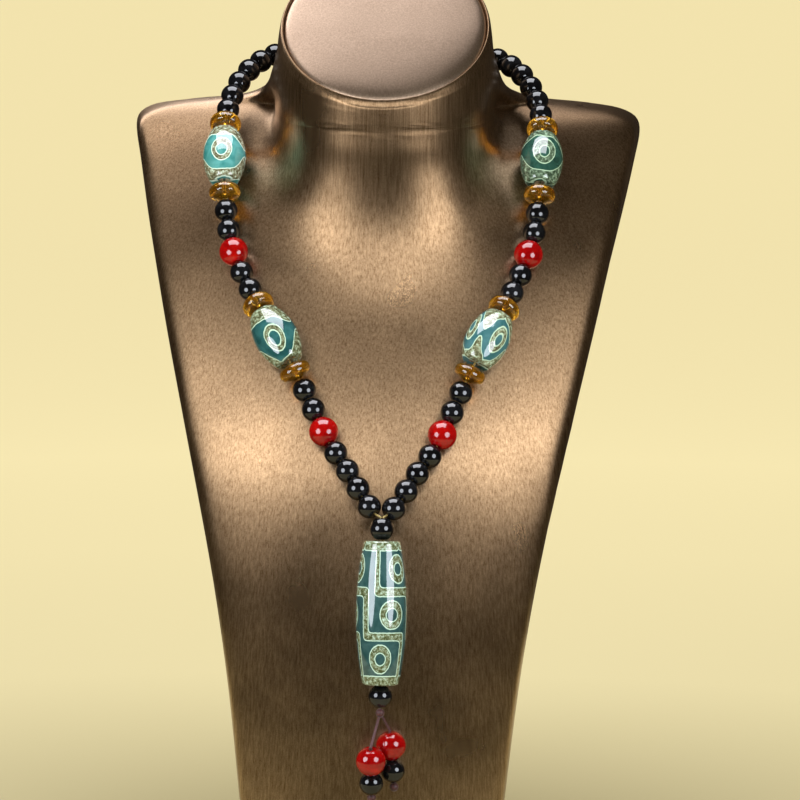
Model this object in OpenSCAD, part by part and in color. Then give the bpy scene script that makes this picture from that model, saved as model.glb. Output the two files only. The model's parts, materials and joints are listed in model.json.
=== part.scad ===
// Dzi bead necklace on a padded neck bust, in millimetres.
// The origin is the middle of the bust's flat base, +Z is up and -Y is the front.

/* [Bust] */
// Radius of the neck
neck_r = 37.3; // [32:0.5:42]
// Distance of the neck's axis behind the middle of the base
neck_y = 44; // [38:1:50]
// Rise of the neck's slanted top for each millimetre towards the back
neck_slant = 0.664; // [0.5:0.02:0.8]
// Height of the neck's slanted top, 16 mm behind its axis
neck_top = 297.4; // [292:1:302]
// Depth of the groove round the padded oval face
groove_deep = 3; // [1.5:0.5:4]
// How far the padded oval face swells above its rim
face_swell = 3.2; // [1:0.2:5]

/* [Beads] */
// Diameter of the black beads
black_d = 8; // [7.6:0.1:8.2]
// Diameter of the red beads
red_d = 10; // [9:0.1:10.4]
// Diameter of the amber rondelles
amber_d = 11; // [9:0.1:12]
// Diameter of the barrel beads at the middle
barrel_d = 15; // [13:0.1:15.5]
// Length of the barrel beads
barrel_l = 21.3; // [20:0.1:21.6]
// Diameter of the barrel beads at their ends
barrel_end_d = 9.2; // [8:0.1:11]
// Diameter of the long pendant bead at the middle
pendant_d = 17; // [15:0.1:17.4]
// Length of the long pendant bead
pendant_l = 48; // [46:0.5:52]
// Diameter of the long pendant bead at its ends
pendant_end_d = 12; // [10:0.1:13]
// Bore of the beads on one strand
bore_d = 1.3; // [1.1:0.1:1.6]
// Bore of the beads that both strands pass
wide_bore_d = 2; // [1.9:0.1:2.4]

/* [Strands] */
// Diameter of the strands that carry the beads
strand_d = 0.7; // [0.5:0.1:0.8]
// Diameter of the two short cords under the last bead
drop_cord_d = 1; // [0.8:0.1:1.1]
// Space between neighbouring beads
bead_gap = 0.25; // [0.2:0.05:0.3]
// How far the pendant hangs to the right of the middle
hang_right = 3.2; // [0:0.1:4]
// Diameter of the knots
knot_d = 3; // [2.4:0.1:3.2]
// Diameter of the hidden clasp at the nape
clasp_d = 5; // [4:0.5:5.5]
// Length of the hidden clasp at the nape
clasp_l = 14; // [10:1:16]

/* [Hidden] */
$fn = 48;

// Places that the beads take up along the thread
black_l = 7.4;
red_l = 9.5;
amber_l = 6.6;
// How much shorter a bead is than its place on the thread, so that it can tilt;
// a barrel or a rondelle is shorter by twice that
tilt_room = 0.3;
// Extra room between the first and the second bead above the middle one, where the string bends
first_room = 0.35;
// How much longer the left barrels are than the middle size, and how much shorter the right ones
barrel_differ = 0.4;

// Rows of the bust's skin from the base up. Between them the skin runs on smooth curves.
// Columns: height, half width, front at the middle, how far the front falls back at the sides,
// back, how much wider the back is on each side, middle of the section, slant of the section.
BUST = [
    [0, 41.2, -57.4, 10, 57.4, 0, 0, 0],
    [1.5, 42, -58, 10, 58, 0, 0, 0],
    [10, 43, -56.9, 10, 58.9, 0, 1.3, 0],
    [30, 45.4, -54, 10, 61, 0, 4, 0],
    [65, 49.4, -49.3, 10.5, 65, 0, 8, 0],
    [100, 55, -43.6, 11, 69, 0, 14, 0],
    [130, 61.4, -35.5, 12, 73, 0.5, 22, 0],
    [155, 67.2, -25, 12.5, 77, 1.5, 30, 0],
    [180, 73, -11.5, 13, 81, 3, 38, 0],
    [205, 78.4, 3.5, 13.5, 85, 4.2, 46, 0],
    [225, 82.5, 18, 14, 87.5, 5, 54, 0],
    [240, 85.2, 31, 14, 88.5, 5.5, 60, 0],
    [247.5, 87, 38.8, 13.5, 87.5, 5, 63, 0.01],
    [252.5, 86.4, 45, 13, 85, 4, 65, 0.04],
    [255.6, 80, 50, 12, 82, 2.5, 66, 0.07],
    [257.2, 69, 53.5, 10, 79.5, 1, 66, 0.095],
    [258.4, 57, 54.5, 8, 77, 0, 65, 0.105],
    [260.5, 49, 51, 6, 75, 0, 62, 0.13],
    [264, 42.5, 46, 4, 71.5, 0, 57, 0.175],
    [270, 38.5, 38, 3, 68, 0, 53, 0.265],
    [278, 34, 31, 2, 65, 0, 49, 0.39],
    [286, 28, 24, 2, 65, 0, 45, 0.515],
    [292, 25, 20, 2, 64, 0, 44, 0.6],
];
// Steps between one row and the next
BUST_STEPS = 2;
// Places round half a section, as parts of the way across the front, along the side and along the back
FRONT = [0, 0.1, 0.2, 0.3, 0.4, 0.5, 0.6, 0.7, 0.8, 0.88, 0.94, 0.975];
SIDE = [0, 0.04, 0.12, 0.3, 0.6, 0.88, 0.97];
BACK = [0, 0.06, 0.2, 0.5, 0.8];
// Sharpness of the section's rounded corners by height, and of the hollow between neck and shoulders
CORNER_SHARP = [[252, 34], [260, 6]];
hollow_sharp = 9;
// Part of its radius that the neck has inside the body, by height
NECK_GROWS = [[150, 0.3], [215, 1.04], [265, 1.04], [292, 1.01]];
// Part of the way from the body's own directions to evenly spread ones, by height
EVEN_FROM = [[256, 0], [263, 1]];
// Part of the way to directions that fan out evenly across the front, by height
FAN_FROM = [[205, 0], [240, 1]];
// Where the sections are hinged as they slant
slant_y = 60;
// Roll of the lip round the groove: inset from the neck's radius, height
LIP = [[0, -1.9], [0.15, -0.9], [0.6, -0.1], [1, 0], [1.3, -0.4], [1.4, -1.4]];
// Roll of the padded face: inset from its own radius, part of the way from floor to swell
PAD = [[0.7, 0], [0.1, 0.1], [0, 0.25], [0.35, 0.42], [1.2, 0.56], [3, 0.69], [7, 0.82], [14, 0.94], [24, 1]];
face_clear = 0.3;

// Strand route on the right side, from the hole on top of the middle bead up to the nape
ROUTE = [
    [0, -48.8, 127.2], [5, -45.2, 129.6], [7.8, -41.8, 135.6], [11.6, -37.8, 140.2], [15.3, -34.6, 145.5],
    [19.7, -31.6, 151.8], [25.7, -24.4, 164.6], [34.9, -18.4, 182], [44.4, -4.3, 197], [51, 5.7, 210.3],
    [54, 14.5, 224], [55.4, 25.9, 241.4], [55.6, 36.3, 252.2], [53.6, 48.8, 261.9], [47.6, 60.5, 270.4],
    [38, 72.4, 274.9], [20.7, 82.9, 279.4], [0, 86.4, 281.4],
];
route_steps = 8;

// How much the string sinks towards the right for each millimetre across
side_lean = 0.015;

// The middle bead, and the direction in which pendant and bead hang below it
middle_bead = [0, -49.5, 123.4];
hang_lean = 8;

// The two short drops: hole on top of the red bead, and a point far below it on the bead's line
DROP_FRONT = [[0.4, -65.5, 52], [0.6, -60, 35.6]];
DROP_BACK = [[6.5, -57, 56], [7.9, -57, 39]];

// Part of the pendant's shift to the right that the string shares, by height
SHIFT = [[110, 1], [150, 0.85], [175, 0.5], [205, 0]];

// Kinds of bead from the middle bead up to the nape
STRING = [
    "black", "black", "black", "black", "red", "black", "black", "amber", "dzi", "amber",
    "black", "black", "red", "black", "black", "amber", "dzi", "amber",
];
neck_beads = 10;

function bead_l(kind, side) =
    kind == "red" ? red_l : kind == "amber" ? amber_l : kind == "dzi" ? barrel_l - side * barrel_differ : black_l;

// Smooth curve through the rows of a table, at row i and part t of the way to the next
function row(table, i) = table[min(max(i, 0), len(table) - 1)];
function curve(table, i, t) =
    let (a = row(table, i - 1), b = row(table, i), c = row(table, i + 1), d = row(table, i + 2))
    0.5 * (2 * b + (c - a) * t + (2 * a - 5 * b + 4 * c - d) * t * t + (3 * b - a - 3 * c + d) * t * t * t);
function smooth(table, steps) = concat(
    [for (i = [0:len(table) - 2], j = [0:steps - 1]) curve(table, i, j / steps)],
    [table[len(table) - 1]]);

// Distance from a section's middle to the neck and to the body, in the direction d
function to_neck(s, d) =
    let (g = lookup(s[0], NECK_GROWS), o = (neck_y - s[6]) * min(1, g * g), r = neck_r * g)
    o * d[1] + sqrt(r * r - o * o * d[0] * d[0]);
function to_front(s, d) =
    let (g = s[6] - s[2], q = s[3] * d[0] * d[0] / (s[1] * s[1]))
    2 * g / max(sqrt(d[1] * d[1] + 4 * q * g) - d[1], 0.001);
function to_side(s, d) =
    let (k = s[5] / (s[4] - s[2])) (s[1] + k * (s[6] - s[2])) / max(abs(d[0]) - k * d[1], 0.001);
function to_back(s, d) = d[1] > 0.001 ? (s[4] - s[6]) / d[1] : 9999;
function to_body(s, d) =
    let (near = min(to_front(s, d), to_side(s, d), to_back(s, d)), e = lookup(s[0], CORNER_SHARP))
    near * pow(pow(near / to_front(s, d), e) + pow(near / to_side(s, d), e)
        + pow(near / to_back(s, d), e), -1 / e);
function to_skin(s, d) =
    let (n = to_neck(s, d), b = to_body(s, d), far = max(n, b))
    far * pow(pow(n / far, hollow_sharp) + pow(b / far, hollow_sharp), 1 / hollow_sharp);

// Points that set the directions round half a section, front middle first
function half_aims(s) = concat(
    [for (f = FRONT) [f * s[1], s[2] + s[3] * f * f]],
    [for (f = SIDE) [s[1] + s[5] * f, s[2] + s[3] + (s[4] - s[2] - s[3]) * f]],
    [for (f = BACK) [(s[1] + s[5]) * (1 - f), s[4]]]);
// Directions round a whole section as angles: towards those points in the body, evenly spread in the neck
half_n = len(FRONT) + len(SIDE) + len(BACK);
function even_angle(i) = -90 + 180 * i / half_n;
function fan_angle(s, i) = i < len(FRONT) ? -90 + FRONT[i] * (90 + atan2(s[2] + s[3] - s[6], s[1])) : 0;
function half_angles(s) =
    let (h = half_aims(s), even = lookup(s[0], EVEN_FROM), fan = lookup(s[0], FAN_FROM))
    [for (i = [0:half_n - 1])
        let (q = i < len(FRONT) ? fan : 0, a = (1 - q) * atan2(h[i][1] - s[6], h[i][0]) + q * fan_angle(s, i))
        (1 - even) * a + even * even_angle(i)];
function all_angles(s) =
    let (h = half_angles(s)) concat(h, [90], [for (i = [half_n - 1:-1:1]) 180 - h[i]]);
function slant_z(s, y) = s[0] + s[7] * (y - slant_y);
function section(s) = [
    for (a = all_angles(s))
        let (d = [cos(a), sin(a)], r = to_skin(s, d), y = s[6] + r * d[1])
        [r * d[0], y, slant_z(s, y)]
];

// Ring round the neck's axis, level with the slanted top and h above it
function neck_ring(r, h) = [
    for (i = [0:2 * half_n - 1])
        let (a = even_angle(i), y = neck_y + r * sin(a))
        [r * cos(a), y, neck_top + neck_slant * (y - slant_y) + h]
];

// Faces of a closed skin over rings of n points each, wound so that they look outwards
function skin_faces(rings, n) = concat(
    [[for (i = [0:n - 1]) i]],
    [for (k = [0:rings - 2], i = [0:n - 1]) [k * n + i, (k + 1) * n + i, k * n + (i + 1) % n]],
    [for (k = [0:rings - 2], i = [0:n - 1])
        [k * n + (i + 1) % n, (k + 1) * n + i, (k + 1) * n + (i + 1) % n]],
    [[for (i = [n - 1:-1:0]) (rings - 1) * n + i]]);
module skin(rings) {
    n = len(rings[0]);
    polyhedron([for (r = rings, p = r) p], skin_faces(len(rings), n), convexity = 6);
}

// The left and the right route as fine lines: length so far, x, y and z of each point
function hung(p) = p + [hang_right * lookup(p[2], SHIFT), 0, -side_lean * p[0]];
function measured(line) = [
    for (i = 0, s = 0; i < len(line);
        s = s + (i + 1 < len(line) ? norm(line[i + 1] - line[i]) : 0), i = i + 1) concat([s], line[i])
];
ROUTES = [
    for (side = [-1, 1]) measured([for (p = smooth(ROUTE, route_steps)) hung([side * p[0], p[1], p[2]])])
];
function on_route(side, s) =
    let (line = ROUTES[side < 0 ? 0 : 1])
    [for (c = [1:3]) lookup(s, [for (p = line) [p[0], p[c]]])];

// Ends of each bead's hole along the left and the right route, the neck beads last
KINDS = concat(STRING, [for (i = [1:neck_beads]) "black"]);
function places(side) = [
    for (i = 0, s = 2.4 - 0.4 * side; i < len(KINDS);
        s = s + bead_l(KINDS[i], side) + bead_gap + (i == 0 ? first_room : 0), i = i + 1)
        [s, s + bead_l(KINDS[i], side)]
];
PLACES = [places(-1), places(1)];
function hole_ends(side, k) = [for (s = PLACES[side < 0 ? 0 : 1][k]) on_route(side, s)];

// The straight line on which the middle bead, the pendant and the last bead hang
hang_dir = [0, -sin(hang_lean), -cos(hang_lean)];
middle_at = hung(middle_bead);
pendant_x = hang_right;
pendant_step = (black_l + pendant_l) / 2 + bead_gap;
pendant_at = [pendant_x, middle_bead[1], middle_bead[2]] + pendant_step * hang_dir;
last_at = pendant_at + pendant_step * hang_dir;
function round_hung(at, l) = [at - hang_dir * l / 2, at + hang_dir * l / 2];
knot_at = last_at + (black_l / 2 + bead_gap + knot_d / 2) * hang_dir;

// Ends of the holes of the beads on a drop, its knot, and the cord from the knot above to the one below
function unit(v) = v / norm(v);
function drop_hole(d, s) = d[0] + unit(d[1] - d[0]) * s;
function drop_ends(d, k) =
    let (s = k == 0 ? 0 : red_l + bead_gap) [drop_hole(d, s), drop_hole(d, s + (k == 0 ? red_l : black_l))];
drop_l = red_l + bead_gap + black_l;
function drop_knot(d) = drop_hole(d, drop_l + bead_gap + knot_d / 2);
function drop_path(d) =
    let (bend = drop_hole(d, -0.6))
    [knot_at + unit(bend - knot_at) * (knot_d / 2 + 0.1), bend, drop_hole(d, drop_l + 0.1)];

function side_name(side) = side < 0 ? "left" : "right";
// Number of a bead among those of its kind, counted up from the middle bead
function count_kind(k) = len([for (i = [0:k]) if (KINDS[i] == KINDS[k]) i]);
function bead_name(side, k) = str(KINDS[k], "_", side_name(side), "_", count_kind(k));

// Turns the Z axis to run from a to b, with the origin half way
module between(ends) {
    v = ends[1] - ends[0];
    translate((ends[0] + ends[1]) / 2)
        rotate([0, acos(v[2] / norm(v)), atan2(v[1], v[0])])
            children();
}

module round_bead(d, l, bore) {
    difference() {
        intersection() {
            sphere(d = d);
            cylinder(h = l - tilt_room, d = d + 1, center = true);
        }
        cylinder(h = d + 2, d = bore, center = true);
    }
}

// Half outline of a barrel bead: an arc from end to end, with its rims rounded off
function barrel_outline(d, l, end_d, rim) =
    let (sag = (d - end_d) / 2, r = (l * l / 4 + sag * sag) / (2 * sag), a = asin(l / 2 / r))
    concat(
        [[0, -l / 2], [end_d / 2 - rim, -l / 2]],
        [for (t = [-0.96:0.12:0.96]) [r * cos(a * t) - r + d / 2, r * sin(a * t)]],
        [[end_d / 2 - rim, l / 2], [0, l / 2]]);
module barrel(d, l, end_d, rim, bore) {
    difference() {
        rotate_extrude() polygon(barrel_outline(d, l, end_d, rim));
        cylinder(h = l + 2, d = bore, center = true);
    }
}

// Lens shaped bead: flat round the hole, with a blunt rounded edge
module rondelle() {
    h = (amber_l - 2 * tilt_room) / 2;
    edge = 1.5;
    difference() {
        rotate_extrude()
            polygon(concat(
                [[0, -h], [1.7, -h]],
                [for (t = [-60:20:60]) [amber_d / 2 - edge + edge * cos(t), 1.3 * edge * sin(t)]],
                [[1.7, h], [0, h]]));
        cylinder(h = amber_l + 2, d = bore_d, center = true);
    }
}

module bead(kind, bore, side = 0) {
    if (kind == "black") color("#101114") round_bead(black_d, black_l, bore);
    if (kind == "red") color("#c4161b") round_bead(red_d, red_l, bore);
    if (kind == "amber") color("#c98a1e") rondelle();
    if (kind == "dzi") color("#4c8f83") 
        barrel(barrel_d, bead_l(kind, side) - 2 * tilt_room, barrel_end_d, 0.5, bore);
}

// Tube along the line's points, carried from ring to ring without a twist
tube_sides = 8;
function heading(path, i) =
    let (n = len(path) - 1)
    unit(unit(path[min(i + 1, n)] - path[max(i, 0) == n ? n - 1 : i])
        + unit(path[i == 0 ? 1 : i] - path[max(i - 1, 0)]));
function ring(at, t, u, r) =
    let (w = cross(t, u))
    [for (k = [0:tube_sides - 1]) at + r * (cos(360 * k / tube_sides) * u + sin(360 * k / tube_sides) * w)];
function tube_rings(path, r) = [
    for (i = 0, t = heading(path, 0), u = unit(cross(t, [0, 1, 0.3])); i < len(path);
        i = i + 1, t = i < len(path) ? heading(path, i) : t, u = unit(u - (u * t) * t))
        ring(path[i], t, u, r)
];
module tube(path, d) {
    skin(tube_rings(path, d / 2));
}

// Every strand runs straight through each hole and bends only between the beads
strand_offset = 0.45;
nape = ROUTE[len(ROUTE) - 1];
function strand_path(side) = concat(
    [for (x = [clasp_l / 2 - 3, clasp_l / 2 + 0.3]) nape + [side * x, 0, 0]],
    [for (k = [len(KINDS) - 1:-1:0], e = [1, 0]) hole_ends(side, k)[e]],
    [for (at = [middle_at - hang_dir * (black_l / 2 + 0.2), middle_at + hang_dir * black_l / 2,
            pendant_at - hang_dir * pendant_l / 2, pendant_at + hang_dir * pendant_l / 2,
            last_at - hang_dir * black_l / 2, last_at + hang_dir * black_l / 2])
        at + [side * strand_offset, 0, 0]]);

module bust() {
    rows = smooth(BUST, BUST_STEPS);
    color("#8d7765")
        skin(concat(
            [for (s = rows) section(s)],
            [for (l = LIP) neck_ring(neck_r - l[0], l[1])],
            [neck_ring(neck_r - 1.4, -groove_deep)]));
}

module neck_face() {
    r = neck_r - 1.4 - face_clear;
    low = face_clear - groove_deep;
    color("#b39c88")
        skin([for (p = PAD) neck_ring(r - p[0], low + p[1] * (face_swell - low))]);
}

module clasp() {
    half = clasp_l / 2;
    color("silver")
        between([nape - [half, 0, 0], nape + [half, 0, 0]])
            difference() {
                rotate_extrude()
                    polygon([
                        [0, -half], [clasp_d * 0.3, -half], [clasp_d * 0.44, -half * 0.86],
                        [clasp_d / 2, -half * 0.55], [clasp_d / 2, half * 0.55],
                        [clasp_d * 0.44, half * 0.86], [clasp_d * 0.3, half], [0, half],
                    ]);
                cylinder(h = clasp_l + 2, d = bore_d, center = true);
            }
}

module strand(side) {
    color("#3b1418") tube(strand_path(side), strand_d);
}

module neck_string(side) {
    for (k = [len(STRING):len(KINDS) - 1])
        between(hole_ends(side, k)) bead("black", bore_d);
}

module string_bead(side, k) {
    between(hole_ends(side, k)) bead(STRING[k], STRING[k] == "dzi" ? wide_bore_d : bore_d, side);
}

module black_middle() {
    between(round_hung(middle_at, black_l)) bead("black", wide_bore_d);
}

module dzi_pendant() {
    color("#56877c")
        between(round_hung(pendant_at, pendant_l))
            barrel(pendant_d, pendant_l, pendant_end_d, 0.8, wide_bore_d);
}

module black_last() {
    between(round_hung(last_at, black_l)) bead("black", wide_bore_d);
}

module knot(at) {
    color("#451a1d") translate(at) sphere(d = knot_d);
}

module drop_bead(d, k) {
    between(drop_ends(d, k)) bead(k == 0 ? "red" : "black", 1.5);
}

module drop_cord(d) {
    color("#3b1418") tube(drop_path(d), drop_cord_d);
}

bust();
neck_face();
clasp();
strand(-1);  // strand_left
strand(1);  // strand_right
neck_string(-1);  // neck_beads_left
neck_string(1);  // neck_beads_right
for (side = [-1, 1], k = [0:len(STRING) - 1])
    string_bead(side, k);
black_middle();
dzi_pendant();
black_last();
knot(knot_at);  // knot_last
drop_bead(DROP_FRONT, 0);  // drop_red_front
drop_bead(DROP_FRONT, 1);  // drop_black_front
knot(drop_knot(DROP_FRONT));  // drop_knot_front
drop_cord(DROP_FRONT);  // drop_cord_front
drop_bead(DROP_BACK, 0);  // drop_red_back
drop_bead(DROP_BACK, 1);  // drop_black_back
knot(drop_knot(DROP_BACK));  // drop_knot_back
drop_cord(DROP_BACK);  // drop_cord_back
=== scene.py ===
"""Looks for the dzi bead necklace on its neck bust: covering, beads, thread and studio."""

import json
import math

import bmesh
import bpy
import numpy as np
from mathutils import Matrix, Vector

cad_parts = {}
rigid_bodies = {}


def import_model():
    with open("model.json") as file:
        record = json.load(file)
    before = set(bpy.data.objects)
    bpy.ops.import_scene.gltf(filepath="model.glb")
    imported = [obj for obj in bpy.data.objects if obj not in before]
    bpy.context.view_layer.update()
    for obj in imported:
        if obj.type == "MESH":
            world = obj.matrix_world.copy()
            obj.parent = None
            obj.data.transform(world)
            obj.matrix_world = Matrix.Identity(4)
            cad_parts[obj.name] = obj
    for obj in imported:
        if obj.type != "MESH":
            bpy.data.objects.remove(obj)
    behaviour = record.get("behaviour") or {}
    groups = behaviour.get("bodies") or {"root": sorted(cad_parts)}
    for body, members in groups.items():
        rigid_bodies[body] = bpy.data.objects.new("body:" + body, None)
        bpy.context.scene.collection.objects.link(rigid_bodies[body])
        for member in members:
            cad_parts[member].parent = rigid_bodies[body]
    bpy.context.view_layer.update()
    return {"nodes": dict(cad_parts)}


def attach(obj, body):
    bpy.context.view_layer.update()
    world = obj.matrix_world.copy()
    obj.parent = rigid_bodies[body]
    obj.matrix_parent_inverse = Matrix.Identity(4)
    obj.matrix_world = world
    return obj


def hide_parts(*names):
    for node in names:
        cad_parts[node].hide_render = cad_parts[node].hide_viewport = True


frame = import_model()
NODES = frame["nodes"]
MM = 0.001
MERGE = 0.01 * MM  # corners nearer than this are one corner
SIDES = ("left", "right")


# ---------------------------------------------------------------- small tools

def linear(code):
    """An sRGB colour such as #a08060 as linear red, green, blue and full alpha."""
    parts = [int(code[i:i + 2], 16) / 255 for i in (1, 3, 5)]
    return [c / 12.92 if c <= 0.04045 else ((c + 0.055) / 1.055) ** 2.4 for c in parts] + [1.0]


def add(tree, kind, settings=None, links=None):
    """Adds a node. Settings are its own properties, a ramp's stops, or input values; links feed its inputs."""
    node = tree.nodes.new(kind)
    for key, value in (settings or {}).items():
        if key == "stops":
            while len(node.color_ramp.elements) < len(value):
                node.color_ramp.elements.new(0.5)
            for element, (place, colour) in zip(node.color_ramp.elements, value):
                element.position, element.color = place, colour
        elif isinstance(key, str) and key in node.bl_rna.properties:
            setattr(node, key, value)
        else:
            node.inputs[key].default_value = value
    for key, source in (links or {}).items():
        tree.links.new(source, node.inputs[key])
    return node


def new_material(name):
    """An empty node material with its output, and the Object coordinates that its patterns read."""
    material = bpy.data.materials.new(name)
    material.use_nodes = True
    tree = material.node_tree
    tree.nodes.clear()
    output = add(tree, "ShaderNodeOutputMaterial")
    place = add(tree, "ShaderNodeTexCoord").outputs["Object"]
    return material, tree, output, place


def piece_from(shape, name, material, slot, *nodes):
    """Turns a bmesh into a shown piece that rides on the one body and stands for CAD nodes."""
    mesh = bpy.data.meshes.new(name)
    shape.to_mesh(mesh)
    shape.free()
    piece = bpy.data.objects.new(name, mesh)
    bpy.context.scene.collection.objects.link(piece)
    mesh.materials.append(material)
    if slot:
        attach(piece, "root")
    if nodes:
        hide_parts(*nodes)
    return piece


def merged_copy(node):
    """A bmesh copy of a CAD node with its doubled corners merged."""
    shape = bmesh.new()
    shape.from_mesh(NODES[node].data)
    bmesh.ops.remove_doubles(shape, verts=shape.verts, dist=MERGE)
    return shape


def smooth_quads(shape):
    """Joins the flat pairs of triangles of a CAD copy to quads, and shades it smooth."""
    bmesh.ops.join_triangles(shape, faces=shape.faces, angle_face_threshold=math.radians(40),
                             angle_shape_threshold=math.radians(60))
    for face in shape.faces:
        face.smooth = True


def rounded(piece, levels):
    """Rounds a piece by subdivision, in the render as in the viewport."""
    rounding = piece.modifiers.new("rounding", "SUBSURF")
    rounding.levels = rounding.render_levels = levels


# ---------------------------------------------------------------- camera, first of all

# The photograph looks 8 degrees down and 1.5 degrees past the front, from 1.3 m, with its top
# leaning half a degree to the right.
YAW, PITCH, ROLL = (math.radians(a) for a in (1.5, 8.0, 0.5))
LOOK_AT = Vector((8, -22, 163)) * MM
DISTANCE = 1.3
ahead = Vector((-math.sin(YAW) * math.cos(PITCH), math.cos(YAW) * math.cos(PITCH), -math.sin(PITCH)))
side = Vector((math.cos(YAW), math.sin(YAW), 0))
upward = side.cross(ahead)
right = side * math.cos(ROLL) + upward * math.sin(ROLL)
up = upward * math.cos(ROLL) - side * math.sin(ROLL)
camera_data = bpy.data.cameras.new("camera")
camera_data.sensor_width = 36
camera_data.lens = 3835 / 800 * 36
camera_data.clip_start, camera_data.clip_end = 0.05, 30
camera = bpy.data.objects.new("camera", camera_data)
bpy.context.scene.collection.objects.link(camera)
pose = Matrix((right, up, -ahead)).transposed().to_4x4()
pose.translation = LOOK_AT - ahead * DISTANCE
camera.matrix_world = pose
bpy.context.scene.camera = camera


# ---------------------------------------------------------------- bead frames

def bead_frame(node, longest=True):
    """Middle of a bead of revolution, its axis (upwards), and the two directions across it, front first."""
    mesh = NODES[node].data
    corners = np.array([v.co for v in mesh.vertices])
    mesh.calc_loop_triangles()
    faces = corners[np.array([t.vertices for t in mesh.loop_triangles])]
    normals = np.cross(faces[:, 1] - faces[:, 0], faces[:, 2] - faces[:, 0])
    areas = np.linalg.norm(normals, axis=1)
    middle = (faces.mean(axis=1) * areas[:, None]).sum(axis=0) / areas.sum()
    spread = (normals / np.maximum(areas, 1e-15)[:, None]).T @ normals
    values, vectors = np.linalg.eigh(spread)
    axis = Vector(vectors[:, 0 if longest else 2])
    axis = axis if axis.z > 0 else -axis
    facing = Vector((0, -1, 0))
    facing = (facing - axis * facing.dot(axis)).normalized()
    return Vector(middle), axis, facing, axis.cross(facing).normalized()


def revolved(outline, steps, middle, axis, facing, across):
    """A drilled bead spun from its half outline of (radius, height) points in millimetres, and its place."""
    shape = bmesh.new()
    points = [shape.verts.new((0, -r * MM, h * MM)) for r, h in outline]
    edges = [shape.edges.new(pair) for pair in zip(points, points[1:])]
    edges.append(shape.edges.new((points[-1], points[0])))
    bmesh.ops.spin(shape, geom=points + edges, cent=(0, 0, 0), axis=(0, 0, 1), angle=2 * math.pi,
                   steps=steps, use_merge=True)
    bmesh.ops.remove_doubles(shape, verts=shape.verts, dist=1e-7)
    bmesh.ops.recalc_face_normals(shape, faces=shape.faces)
    for face in shape.faces:
        face.smooth = True
    turn = Matrix((across, -facing, axis)).transposed().to_4x4()
    turn.translation = middle
    return shape, turn


# ---------------------------------------------------------------- dzi patterns, in millimetres on the rolled-out bead

LINE = 0.32  # painted cream line, as wide as in the photograph
DEEP = 30.0


def eased(corners, reach):
    """The outline with every corner rounded, starting at most reach from the corner."""
    out = []
    for before, corner, after in zip(corners[-1:] + corners[:-1], corners, corners[1:] + corners[:1]):
        before, corner, after = Vector(before), Vector(corner), Vector(after)
        start = corner + (before - corner).normalized() * min(reach, (before - corner).length / 2)
        end = corner + (after - corner).normalized() * min(reach, (after - corner).length / 2)
        for s in (0, 0.25, 0.5, 0.75, 1):
            out.append(tuple(start * (1 - s) ** 2 + corner * 2 * s * (1 - s) + end * s * s))
    return out


def from_outline(u, t, corners):
    """Distance to an outline, below zero inside it."""
    nearest, inside = np.full(u.shape, 1e3), np.zeros(u.shape, bool)
    for (ax, ay), (bx, by) in zip(corners, corners[1:] + corners[:1]):
        ex, ey = bx - ax, by - ay
        if ex * ex + ey * ey < 1e-9:
            continue
        wx, wy = u - ax, t - ay
        k = np.clip((wx * ex + wy * ey) / (ex * ex + ey * ey), 0, 1)
        nearest = np.minimum(nearest, np.hypot(wx - k * ex, wy - k * ey))
        if ey:
            inside ^= ((ay > t) != (by > t)) & (wx < ex * wy / ey)
    return np.where(inside, -nearest, nearest)


def from_ring(u, t, at, outer, inner):
    """Distance to an eye's mottled ring between two ovals, below zero in the ring."""
    x, y = u - at[0], t - at[1]
    out = (np.hypot(x / outer[0], y / outer[1]) - 1) * min(outer)
    return np.maximum(out, (1 - np.hypot(x / inner[0], y / inner[1])) * min(inner))


def blended(a, b, reach):
    """The nearer of two distances, with the corner between them rounded."""
    h = np.clip(0.5 + 0.5 * (b - a) / reach, 0, 1)
    return b * (1 - h) + a * h - reach * h * (1 - h)


def motif(u, t, round_mm, step, outlines, rings, rounding, reach):
    """Distance in mm to the mottled bands: above zero is the ground, below zero a band or an eye's ring."""
    field = np.full(u.shape, DEEP)
    count = round(round_mm / step)
    for corners in outlines:
        corners = eased(corners, rounding)
        for k in range(-count, count + 1):
            field = blended(field, from_outline(u - k * step, t, corners), reach)
    for at, outer, inner in rings:
        for k in range(-count, count + 1):
            field = np.minimum(field, from_ring(u - k * step, t, at, outer, inner))
    return field


def barrel_outline(diameter, length, end_diameter, bore, rows):
    """Half outline of a barrel bead as in the CAD: an arc from end to end, rims rounded, with its bore."""
    sag = (diameter - end_diameter) / 2
    radius = (length ** 2 / 4 + sag ** 2) / (2 * sag)
    half = math.asin(length / 2 / radius)
    outline = [(bore / 2, -length / 2), (end_diameter / 2 - 0.55, -length / 2),
               (end_diameter / 2 - 0.2, -length / 2 + 0.12)]
    for i in range(rows + 1):
        a = half * (-0.975 + 1.95 * i / rows)
        outline.append((radius * math.cos(a) - radius + diameter / 2, radius * math.sin(a)))
    return outline + [(end_diameter / 2 - 0.2, length / 2 - 0.12), (end_diameter / 2 - 0.55, length / 2),
                      (bore / 2, length / 2)]


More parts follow.
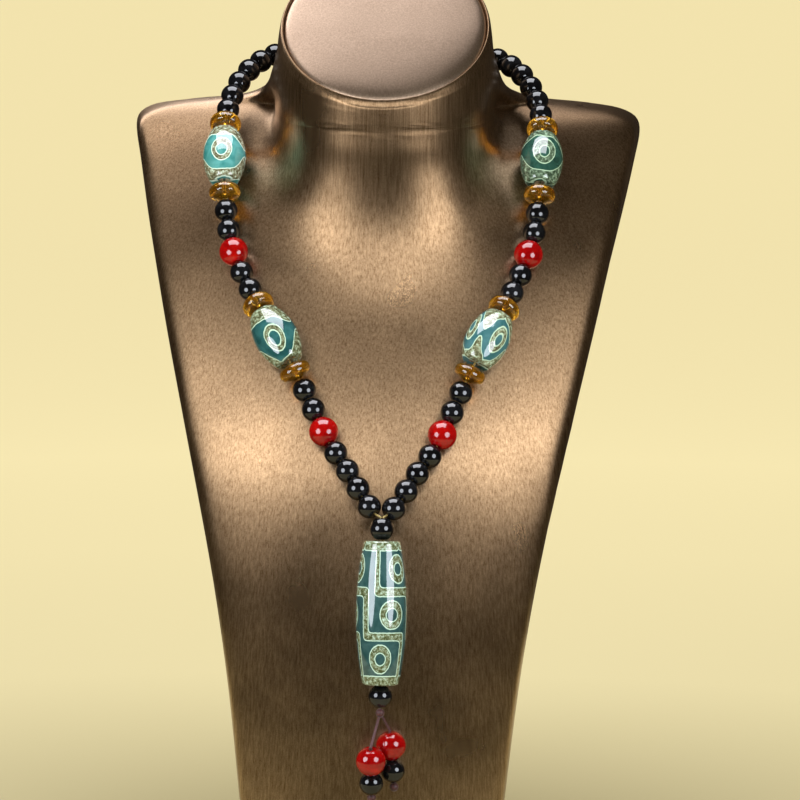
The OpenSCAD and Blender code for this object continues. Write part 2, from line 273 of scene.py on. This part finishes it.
# Each pattern: how far it is from one repeat to the next round the bead, the outlines of its mottled
# bands, and its eyes as (middle, outer half sizes, inner half sizes). Zero is the side that faces forward.
ROUND_BARREL = 2 * math.pi * 7.5
HALF_ROUND = ROUND_BARREL / 2
PATTERNS = {
    "dzi_left_2": dict(step=HALF_ROUND, rounding=1.3, reach=1.0, outlines=[
        [(-24, 8.1), (3.4, 8.1), (9.4, 1.7), (12.6, 1.6), (18, 8.1), (24, 8.1), (24, DEEP), (-24, DEEP)],
        [(4.2, -4.5), (6.4, -3.9), (9.0, -0.5), (10.6, -0.4), (10.8, -8.4), (8.4, -8.6), (5, -7.6), (0, -7.0),
         (-5, -7.6), (-8.4, -8.6), (-12.8, -8.4), (-12.6, -0.6), (-9.2, -0.5), (-6.4, -3.9), (-4.2, -4.5)]],
        rings=[((-0.4, 2.5), (3.7, 4.0), (2.05, 2.15))]),
    "dzi_left_1": dict(step=HALF_ROUND, rounding=2.2, reach=1.2, outlines=[
        [(-24, 7.4), (-4.4, 7.2), (3.3, 7.3), (7.4, 2.6), (9.9, 1.8), (10.6, 2.4), (12.6, 6.0), (19.2, 7.2),
         (24, DEEP), (-24, DEEP)],
        [(-3.6, -8.2), (4.8, -7.4), (8.2, -2.6), (9.8, -1.2), (11.3, -1.2), (15.6, -1.4), (16.6, -3.4), (20.0, -8.2),
         (24, -DEEP), (-24, -DEEP)]],
        rings=[((0.5, -0.2), (3.5, 4.85), (1.9, 2.85))]),
    "dzi_right_2": dict(step=HALF_ROUND, rounding=1.6, reach=1.0, outlines=[
        [(-24, 8.9), (3.9, 8.8), (7.2, 6.0), (9.6, 1.6), (10.8, 1.2), (12.6, 2.4), (15.0, 4.6), (20.5, 8.8),
         (24, DEEP), (-24, DEEP)],
        [(4.6, -3.9), (8.2, -2.2), (9.8, 0.3), (11.0, 0.5), (12.6, -1.2), (13.6, -6.6), (10.4, -8.9), (6, -7.8),
         (0, -6.5),
         (-6, -7.4), (-10.2, -8.4), (-11.4, -4.0), (-10.6, 1.2), (-9.0, 1.5), (-6.4, -1.9), (-4, -3.4)]],
        rings=[((0.8, 3.1), (3.95, 4.4), (1.85, 2.1))]),
    "dzi_right_1": dict(step=HALF_ROUND / 2, rounding=1.5, reach=1.0, outlines=[
        [(-9.6, 8.9), (-7.0, 7.9), (-3.4, 2.7), (-2.6, 2.7), (-0.4, 8.4), (2.18, 8.9), (2.18, DEEP), (-9.6, DEEP)],
        [(-9.6, -6.6), (-5.6, -5.8), (-3.7, 0.1), (-2.8, 0.2), (-1.2, -3.8), (0.9, -5.5), (2.18, -6.6), (2.18, -8.6),
         (-9.6, -8.6)]],
        rings=[((3.1, 1.8), (2.75, 4.8), (1.25, 2.35))]),
}
# The long pendant: three meanders from cap to cap, each a third of the way round from the last, and nine eyes
PENDANT_STEP = 2 * math.pi * 8.5 / 3
PATTERNS["dzi_pendant"] = dict(step=PENDANT_STEP, rounding=1.5, reach=0.25, outlines=[
    [(-2.05, 21.5), (-0.5, 21.5), (-0.5, 8.7), (13.5, 8.7), (13.5, -6.3), (27.2, -6.3), (27.2, -21.5), (25.5, -21.5),
     (25.5, -8.9), (11.45, -8.9), (11.45, 5.8), (-2.05, 5.8)],
    [(-9.0, 20.9), (8.9, 20.9), (8.9, DEEP), (-9.0, DEEP)],
    [(-9.0, -20.8), (8.9, -20.8), (8.9, -DEEP), (-9.0, -DEEP)]],
    rings=[((6.9, 14.9), (3.8, 4.75), (1.8, 2.05)), ((4.0, -0.3), (4.2, 4.75), (2.1, 2.25)),
           ((0, -15.1), (4.1, 4.8), (2.0, 2.1))])


# ---------------------------------------------------------------- materials

def covering(name, light, dark, roughness, metallic):
    """Metallic leatherette: embossed with fine upright strands, then lacquered, which gives a satin sheen with
    streaks about 0.6 mm wide and 16 mm long, and a fine grain of 0.3 mm between them."""
    material, tree, output, place = new_material(name)
    strands = add(tree, "ShaderNodeMapping", {"Scale": (1 / 0.0006, 1 / 0.0006, 1 / 0.016)}, {"Vector": place})
    streak = add(tree, "ShaderNodeTexNoise", {"Scale": 1.0, "Detail": 4.0, "Roughness": 0.7},
                 {"Vector": strands.outputs[0]})
    grain = add(tree, "ShaderNodeTexNoise", {"Scale": 1 / 0.0003, "Detail": 2.0, "Roughness": 0.7}, {"Vector": place})
    cloud = add(tree, "ShaderNodeTexNoise", {"Scale": 1 / 0.03, "Detail": 3.0}, {"Vector": place})
    both = add(tree, "ShaderNodeMath", {"operation": "MULTIPLY_ADD", 1: 0.6}, {0: streak.outputs["Fac"]})
    share = add(tree, "ShaderNodeMath", {"operation": "MULTIPLY", 1: 0.4}, {0: grain.outputs["Fac"]})
    tree.links.new(share.outputs[0], both.inputs[2])
    colour = add(tree, "ShaderNodeValToRGB", {"stops": [(0.36, linear(dark)), (0.62, linear(light))]},
                 {"Fac": both.outputs[0]})
    uneven = add(tree, "ShaderNodeMapRange", {1: 0.3, 2: 0.7, 3: roughness - 0.05, 4: roughness + 0.07},
                 {0: cloud.outputs["Fac"]})
    bump = add(tree, "ShaderNodeBump", {"Strength": 0.4, "Distance": 0.0001}, {"Height": both.outputs[0]})
    shader = add(tree, "ShaderNodeBsdfPrincipled", {"Metallic": metallic, "Coat Weight": 0.05, "Coat Roughness": 0.3},
                 {"Base Color": colour.outputs[0], "Roughness": uneven.outputs[0], "Normal": bump.outputs[0]})
    tree.links.new(shader.outputs[0], output.inputs["Surface"])
    return material


def polished_onyx():
    """Black onyx, tumbled to a mirror gloss, with the faintest grey clouds deep in it."""
    material, tree, output, place = new_material("polished_black_onyx")
    cloud = add(tree, "ShaderNodeTexNoise", {"Scale": 1 / 0.004, "Detail": 4.0}, {"Vector": place})
    colour = add(tree, "ShaderNodeValToRGB", {"stops": [(0.4, linear("#060607")), (0.75, linear("#131417"))]},
                 {"Fac": cloud.outputs["Fac"]})
    scuff = add(tree, "ShaderNodeMapRange", {1: 0.3, 2: 0.7, 3: 0.04, 4: 0.08}, {0: cloud.outputs["Fac"]})
    shader = add(tree, "ShaderNodeBsdfPrincipled", {"IOR": 1.54},
                 {"Base Color": colour.outputs[0], "Roughness": scuff.outputs[0]})
    tree.links.new(shader.outputs[0], output.inputs["Surface"])
    return material


def red_agate():
    """Red agate, heated to a deep even red and polished: light goes a little way in, with paler milky clouds."""
    material, tree, output, place = new_material("polished_red_agate")
    cloud = add(tree, "ShaderNodeTexNoise", {"Scale": 1 / 0.006, "Detail": 4.0, "Distortion": 0.6}, {"Vector": place})
    colour = add(tree, "ShaderNodeValToRGB",
                 {"stops": [(0.35, linear("#6e0304")), (0.6, linear("#860605")), (0.8, linear("#a3130c"))]},
                 {"Fac": cloud.outputs["Fac"]})
    shader = add(tree, "ShaderNodeBsdfPrincipled",
                 {"Roughness": 0.05, "IOR": 1.54, "Subsurface Weight": 0.35,
                  "Subsurface Radius": (0.004, 0.0008, 0.0005), "Subsurface Scale": 1.0},
                 {"Base Color": colour.outputs[0]})
    tree.links.new(shader.outputs[0], output.inputs["Surface"])
    return material


def amber_resin():
    """Clear honey amber resin, cast and polished: glassy, with a warmer core and few faint clouds."""
    material, tree, output, place = new_material("clear_honey_amber")
    cloud = add(tree, "ShaderNodeTexNoise", {"Scale": 1 / 0.005, "Detail": 3.0}, {"Vector": place})
    colour = add(tree, "ShaderNodeValToRGB", {"stops": [(0.35, linear("#a0680d")), (0.7, linear("#d0a035"))]},
                 {"Fac": cloud.outputs["Fac"]})
    shader = add(tree, "ShaderNodeBsdfPrincipled", {"Roughness": 0.02, "IOR": 1.54, "Transmission Weight": 0.92},
                 {"Base Color": colour.outputs[0]})
    tree.links.new(shader.outputs[0], output.inputs["Surface"])
    return material


def dzi_agate(name, ground, ground_dark, band, band_dark, line):
    """Etched and dyed agate: a teal ground, cream lines painted and fired in, and bands mottled in grains of
    about 1 mm, all polished to a wet gloss with hair cracks 2 to 3 mm apart in the ground."""
    material, tree, output, place = new_material(name)
    motif_mm = add(tree, "ShaderNodeAttribute", {"attribute_name": "motif"}).outputs["Fac"]
    wobble = add(tree, "ShaderNodeTexNoise", {"Scale": 1 / 0.0012, "Detail": 2.0}, {"Vector": place})
    shift = add(tree, "ShaderNodeMapRange", {1: 0.25, 2: 0.75, 3: -0.09, 4: 0.09}, {0: wobble.outputs["Fac"]})
    edge = add(tree, "ShaderNodeMath", {"operation": "ADD"}, {0: motif_mm, 1: shift.outputs[0]})
    cloud = add(tree, "ShaderNodeTexNoise", {"Scale": 1 / 0.005, "Detail": 4.0, "Distortion": 0.8}, {"Vector": place})
    ground_colour = add(tree, "ShaderNodeValToRGB", {"stops": [(0.35, linear(ground_dark)), (0.65, linear(ground))]},
                        {"Fac": cloud.outputs["Fac"]})
    cells = add(tree, "ShaderNodeTexVoronoi",
                {"feature": "DISTANCE_TO_EDGE", "Scale": 1 / 0.0045, "Randomness": 1.0}, {"Vector": place})
    crack = add(tree, "ShaderNodeMapRange", {1: 0.0, 2: 0.012, 3: 0.55, 4: 0.0}, {0: cells.outputs["Distance"]})
    faint = add(tree, "ShaderNodeMapRange", {1: 0.5, 2: 0.62, 3: 0.0, 4: 1.0}, {0: cloud.outputs["Fac"]})
    shown = add(tree, "ShaderNodeMath", {"operation": "MULTIPLY"}, {0: crack.outputs[0], 1: faint.outputs[0]})
    cracked = add(tree, "ShaderNodeMix", {"data_type": "RGBA", 7: linear(ground_dark)},
                  {0: shown.outputs[0], 6: ground_colour.outputs[0]})
    mottle = add(tree, "ShaderNodeTexNoise", {"Scale": 1 / 0.0011, "Detail": 3.0, "Roughness": 0.7},
                 {"Vector": place})
    band_colour = add(tree, "ShaderNodeValToRGB",
                      {"stops": [(0.4, linear(band_dark)), (0.52, linear(band)), (0.72, linear(line))]},
                      {"Fac": mottle.outputs["Fac"]})
    in_band = add(tree, "ShaderNodeMapRange", {1: -0.04, 2: 0.04, 3: 1.0, 4: 0.0}, {0: edge.outputs[0]})
    grounds = add(tree, "ShaderNodeMix", {"data_type": "RGBA"},
                  {0: in_band.outputs[0], 6: cracked.outputs[2], 7: band_colour.outputs[0]})
    away = add(tree, "ShaderNodeMath", {"operation": "ABSOLUTE"}, {0: edge.outputs[0]})
    on_line = add(tree, "ShaderNodeMapRange", {1: LINE / 2 - 0.07, 2: LINE / 2 + 0.07, 3: 1.0, 4: 0.0},
                  {0: away.outputs[0]})
    # a thin dark burnt rim lies just inside the cream lines, towards the band
    inner = add(tree, "ShaderNodeMath", {"operation": "ADD", 1: LINE / 2 + 0.16}, {0: edge.outputs[0]})
    inner_away = add(tree, "ShaderNodeMath", {"operation": "ABSOLUTE"}, {0: inner.outputs[0]})
    on_rim = add(tree, "ShaderNodeMapRange", {1: 0.05, 2: 0.17, 3: 0.6, 4: 0.0}, {0: inner_away.outputs[0]})
    rimmed = add(tree, "ShaderNodeMix", {"data_type": "RGBA", 7: linear(band_dark)},
                 {0: on_rim.outputs[0], 6: grounds.outputs[2]})
    colour = add(tree, "ShaderNodeMix", {"data_type": "RGBA", 7: linear(line)},
                 {0: on_line.outputs[0], 6: rimmed.outputs[2]})
    shader = add(tree, "ShaderNodeBsdfPrincipled",
                 {"Roughness": 0.06, "IOR": 1.54, "Coat Weight": 0.3, "Coat Roughness": 0.03},
                 {"Base Color": colour.outputs[2]})
    tree.links.new(shader.outputs[0], output.inputs["Surface"])
    return material


def waxed_thread(name, light, dark, lay_mm):
    """Waxed plied thread: strands of about a third of its width, with a dull waxy sheen."""
    material, tree, output, place = new_material(name)
    strands = add(tree, "ShaderNodeTexNoise", {"Scale": 1 / (lay_mm * MM), "Detail": 3.0, "Roughness": 0.6},
                  {"Vector": place})
    colour = add(tree, "ShaderNodeValToRGB", {"stops": [(0.35, linear(dark)), (0.65, linear(light))]},
                 {"Fac": strands.outputs["Fac"]})
    bump = add(tree, "ShaderNodeBump", {"Strength": 0.6, "Distance": 0.0001}, {"Height": strands.outputs["Fac"]})
    shader = add(tree, "ShaderNodeBsdfPrincipled", {"Roughness": 0.55, "Sheen Weight": 0.3, "Sheen Roughness": 0.4},
                 {"Base Color": colour.outputs[0], "Normal": bump.outputs[0]})
    tree.links.new(shader.outputs[0], output.inputs["Surface"])
    return material


def brushed_steel():
    """Brushed steel: fine lines across the clasp, about 0.15 mm apart."""
    material, tree, output, place = new_material("brushed_steel_clasp")
    lines = add(tree, "ShaderNodeMapping", {"Scale": (1 / 0.004, 1 / 0.00015, 1 / 0.00015)}, {"Vector": place})
    brush = add(tree, "ShaderNodeTexNoise", {"Scale": 1.0, "Detail": 2.0}, {"Vector": lines.outputs[0]})
    rough = add(tree, "ShaderNodeMapRange", {1: 0.3, 2: 0.7, 3: 0.22, 4: 0.38}, {0: brush.outputs["Fac"]})
    tone = add(tree, "ShaderNodeValToRGB", {"stops": [(0.3, linear("#b7b3ac")), (0.7, linear("#d2cfc8"))]},
               {"Fac": brush.outputs["Fac"]})
    shader = add(tree, "ShaderNodeBsdfPrincipled", {"Metallic": 1.0},
                 {"Base Color": tone.outputs[0], "Roughness": rough.outputs[0]})
    tree.links.new(shader.outputs[0], output.inputs["Surface"])
    return material


BRONZE = covering("bronze_leatherette", "#c6ab8c", "#80664b", 0.31, 0.97)
CHAMPAGNE = covering("champagne_leatherette", "#e2cfc0", "#bda694", 0.36, 0.95)
ONYX = polished_onyx()
AGATE = red_agate()
AMBER = amber_resin()
STEEL = brushed_steel()
PALE_THREAD = waxed_thread("pale_waxed_thread", "#a8924e", "#5f4d25", 0.35)
MAROON_CORD = waxed_thread("maroon_waxed_cord", "#4a1a1c", "#1d090b", 0.35)
DZI = {
    "dzi_left_2": dzi_agate("turquoise_dzi_agate", "#4d8988", "#2b6967", "#75745e", "#484734", "#b9d0c2"),
    "dzi_left_1": dzi_agate("teal_dzi_agate", "#2b5758", "#173c3d", "#66694f", "#393d29", "#a4bda8"),
    "dzi_right_2": dzi_agate("green_dzi_agate", "#27493f", "#172f28", "#4a5a49", "#293829", "#93ac94"),
    "dzi_right_1": dzi_agate("blue_dzi_agate", "#3f6469", "#274f53", "#73765d", "#42432f", "#a2bba6"),
    "dzi_pendant": dzi_agate("deep_teal_dzi_agate", "#334f50", "#1f3c3d", "#697057", "#3a4226", "#a8c4b6"),
}


# ---------------------------------------------------------------- the bust and its padded face

def ramped(value, low, high):
    """Rises smoothly from 0 at low to 1 at high."""
    k = min(max((value - low) / (high - low), 0), 1)
    return k * k * (3 - 2 * k)


def bridged(place):
    """How far a place on the bust takes part in the bridging of the hollow below the neck, from 0 to 1."""
    return (ramped(place.z, 188 * MM, 202 * MM) * ramped(-place.z, -246 * MM, -232 * MM)
            * ramped(-abs(place.x), -38 * MM, -24 * MM))


bust = merged_copy("bust")
crowded = [v for v in bust.verts if 249.5 * MM < v.co.z < 254.2 * MM and v.co.y < 12 * MM]
bmesh.ops.remove_doubles(bust, verts=crowded, dist=0.8 * MM)  # rings that nearly touch would pucker the covering
# The covering pulls the front of the neck into one slow taper up to the lip, and bridges the hollow below it
NECK_Y, NECK_R = 44 * MM, 38.79 * MM
NECK_TOP, NECK_SLANT, HINGE_Y = 297.4 * MM, 0.664, 60 * MM  # the slanted top, as in the CAD source
TAPER_FROM, TAPER, LIP_ROLL = 225 * MM, 1.12 * MM, 1.9 * MM
for vert in bust.verts:
    x, y, z = vert.co
    out = Vector((x, y - NECK_Y, 0))
    lip = NECK_TOP - LIP_ROLL + NECK_SLANT * (y - HINGE_Y)
    if TAPER_FROM < z < lip and 36 * MM < out.length < NECK_R + 0.05 * MM:
        target = NECK_R - TAPER * (z - TAPER_FROM) / (lip - TAPER_FROM)
        vert.co += out.normalized() * (target - out.length) * ramped(-out.y / out.length, 0.3, 0.8)
hollow = {vert: bridged(vert.co) for vert in bust.verts if vert.co.y < 30 * MM}
for _ in range(5):
    pulls = {vert: sum(edge.other_vert(vert).co.y for edge in vert.link_edges) / len(vert.link_edges) - vert.co.y
             for vert, share in hollow.items() if share}
    for vert, pull in pulls.items():
        vert.co.y += 0.5 * hollow[vert] * pull
smooth_quads(bust)
bust = piece_from(bust, "bust_covering", BRONZE, "bust_covering", "bust")
rounded(bust, 1)

face_pad = merged_copy("neck_face")
smooth_quads(face_pad)
face_pad = piece_from(face_pad, "face_pad", CHAMPAGNE, "face_covering", "neck_face")
rounded(face_pad, 2)


# ---------------------------------------------------------------- dzi beads and rondelles

SIZES = {  # diameter, length, end diameter, rows along the bead, steps round it
    "dzi_left_1": (15, 21.1, 9.2, 54, 120), "dzi_left_2": (15, 21.1, 9.2, 54, 120),
    "dzi_right_1": (15, 20.3, 9.2, 54, 120), "dzi_right_2": (15, 20.3, 9.2, 54, 120),
    "dzi_pendant": (17, 48, 12, 120, 132),
}
for node, (diameter, length, end, rows, steps) in SIZES.items():
    shape, turn = revolved(barrel_outline(diameter, length, end, 2.0, rows), steps, *bead_frame(node))
    places = np.array([v.co for v in shape.verts]) / MM
    round_mm = math.pi * diameter
    u = np.arctan2(places[:, 0], -places[:, 1]) * diameter / 2
    height = places[:, 2]
    if node != "dzi_pendant":  # the barrels' patterns are as the photograph shows them on the leaning beads
        lean = turn.to_3x3().col[2].dot(ahead)
        height = height * math.sqrt(1 - lean * lean) - places[:, 1] * lean
    values = motif(u, height, round_mm, **PATTERNS[node])
    bmesh.ops.transform(shape, matrix=turn, verts=shape.verts)
    piece = piece_from(shape, node + "_bead", DZI[node], "dzi_agate", node)
    piece.data.attributes.new("motif", "FLOAT", "POINT").data.foreach_set("value", values.astype(np.float32))

RONDELLE = [(0.65, -3.0), (1.7, -3.0)]
for i in range(-7, 8):
    a = math.radians(9 * i)
    RONDELLE.append((5.5 - 1.5 + 1.5 * math.cos(a), 1.95 * math.sin(a)))
RONDELLE += [(1.7, 3.0), (0.65, 3.0)]
for s in SIDES:
    for i in range(1, 5):
        node = f"amber_{s}_{i}"
        shape, turn = revolved(RONDELLE, 64, *bead_frame(node, longest=False))
        bmesh.ops.transform(shape, matrix=turn, verts=shape.verts)
        piece_from(shape, node + "_rondelle", AMBER, "amber_resin", node)


# ---------------------------------------------------------------- finishes of the CAD pieces that stay

FINISHES = {  # the starts of the nodes' names, by finish
    ONYX: ("black_", "neck_beads_", "drop_black_"),
    AGATE: ("red_", "drop_red_"),
    PALE_THREAD: ("strand_",),
    MAROON_CORD: ("drop_cord_", "drop_knot_", "knot_"),
    STEEL: ("clasp",),
}
for material, starts in FINISHES.items():
    for node in NODES:
        if node.startswith(starts):
            for slot in NODES[node].material_slots:
                slot.material = material


# ---------------------------------------------------------------- studio

PAPER = "#efe2b2"
PAPER_MATT = 0.28  # part of the paper's own colour that the lamps light
GLOW_REACH = 1.5  # metres
TABLE_REACH = 0.34  # the lit paper that the beads mirror; beyond it the room is dark


def stage_paper():
    """Cream background paper, matt, on the table and up behind it. Its glow is painted light: it glows more with the
    distance from a place
    0.3 m in front of the object, so that its tone stays the same where the overhead lamp no longer reaches. It glows
    least near that place, which paints shade on the paper in front of the object."""
    material, tree, output, place = new_material("cream_background_paper")
    away = add(tree, "ShaderNodeVectorMath", {"operation": "DISTANCE", 1: (0, -0.3, 0)}, {0: place})
    share = add(tree, "ShaderNodeMath", {"operation": "DIVIDE", 1: GLOW_REACH}, {0: away.outputs["Value"]})
    steps = [(part, [tone] * 3 + [1]) for part, tone in ((0.2, 0.12), (0.4, 0.56), (0.6, 0.74), (0.8, 0.86))]
    # painted light: the paper's own glow, weakest in front of the object as painted shade
    glow = add(tree, "ShaderNodeValToRGB", {"stops": steps}, {"Fac": share.outputs[0]})
    shader = add(tree, "ShaderNodeBsdfPrincipled",
                 {"Roughness": 0.9, "Specular IOR Level": 0.0,
                  "Base Color": [c * PAPER_MATT for c in linear(PAPER)[:3]] + [1.0],
                  "Emission Color": linear(PAPER)}, {"Emission Strength": glow.outputs[0]})
    tree.links.new(shader.outputs[0], output.inputs["Surface"])
    return material


paper = stage_paper()
table = bmesh.new()
bmesh.ops.create_circle(table, cap_ends=True, radius=TABLE_REACH, segments=96)
table = piece_from(table, "table", paper, None)
cove = bmesh.new()
path = [(TABLE_REACH, 0), (3.0, 0)] + [(3.0 + 1.2 * math.sin(a), 1.2 - 1.2 * math.cos(a))
                                       for a in (math.radians(d) for d in range(10, 91, 10))] + [(4.2, 5.0)]
ring = [cove.verts.new((x, 0, z)) for x, z in path]
edges = [cove.edges.new(pair) for pair in zip(ring, ring[1:])]
bmesh.ops.spin(cove, geom=ring + edges, cent=(0, 0, 0), axis=(0, 0, 1), angle=2 * math.pi, steps=96, use_merge=True)
for face in cove.faces:
    face.smooth = True
cove = piece_from(cove, "cove", paper, None)
cove.visible_glossy = False

covered = bpy.data.collections.new("lit_by_the_high_lamps")
covered.objects.link(bust)
covered.objects.link(face_pad)
beaded = bpy.data.collections.new("lit_by_the_front_lamps")
for item in bpy.context.scene.collection.objects:
    if item.type == "MESH" and item not in (bust, face_pad):
        beaded.objects.link(item)


def lamp(name, shape, at, towards, size, glow, colour, only):
    """A soft area lamp of a given brightness that points at a place, lights some pieces only and isn't seen."""
    data = bpy.data.lights.new(name, "AREA")
    data.shape = shape
    data.size, data.size_y = size
    area = size[0] * size[1] * (math.pi / 4 if shape in ("DISK", "ELLIPSE") else 1)
    data.energy = glow * math.pi * area
    data.color = linear(colour)[:3]
    hung = bpy.data.objects.new(name, data)
    hung.location = at
    hung.rotation_euler = (Vector(towards) - Vector(at)).to_track_quat("-Z", "Y").to_euler()
    hung.visible_camera = False
    hung.light_linking.receiver_collection = only
    bpy.context.scene.collection.objects.link(hung)


# The two low round lamps and the one overhead make the dots and the bright squares on the beads; the others
# make the satin lights on the bust: a strip on the chest, and two from behind on the shoulders and the face.
CHEST = (0, -0.02, 0.16)
for sign, name in ((-1, "left"), (1, "right")):
    lamp(f"front_{name}", "DISK", (sign * 0.25, -0.297, 0.2), (0, -0.04, 0.14), (0.24, 0.24), 10, "#eef5ff", beaded)
    lamp(f"high_{name}", "DISK", (sign * 0.27, -0.28, 0.36), CHEST, (0.26, 0.26), 1.4, "#fff8ee", covered)
lamp("overhead", "RECTANGLE", (-0.06, -0.01, 0.75), (-0.06, -0.01, 0), (0.65, 0.45), 9, "#f6f8ff", beaded)
lamp("high_strip", "RECTANGLE", (0, -0.45, 0.48), CHEST, (1.15, 0.15), 2.5, "#fff8ee", covered)
lamp("overhead_behind", "RECTANGLE", (-0.16, 0.2, 0.75), (-0.06, 0.06, 0.2), (0.75, 0.26), 1.45, "#fff4ec", covered)
lamp("behind_left", "RECTANGLE", (-0.3, 0.6, 0.72), (-0.05, 0.05, 0.25), (0.7, 0.4), 3.0, "#fff4ec", covered)

world = bpy.data.worlds.new("dark_studio")
world.use_nodes = True
world.node_tree.nodes["Background"].inputs["Color"].default_value = linear("#5a5048")
world.node_tree.nodes["Background"].inputs["Strength"].default_value = 0.25
bpy.context.scene.world = world
bpy.context.scene.view_settings.view_transform = "Standard"
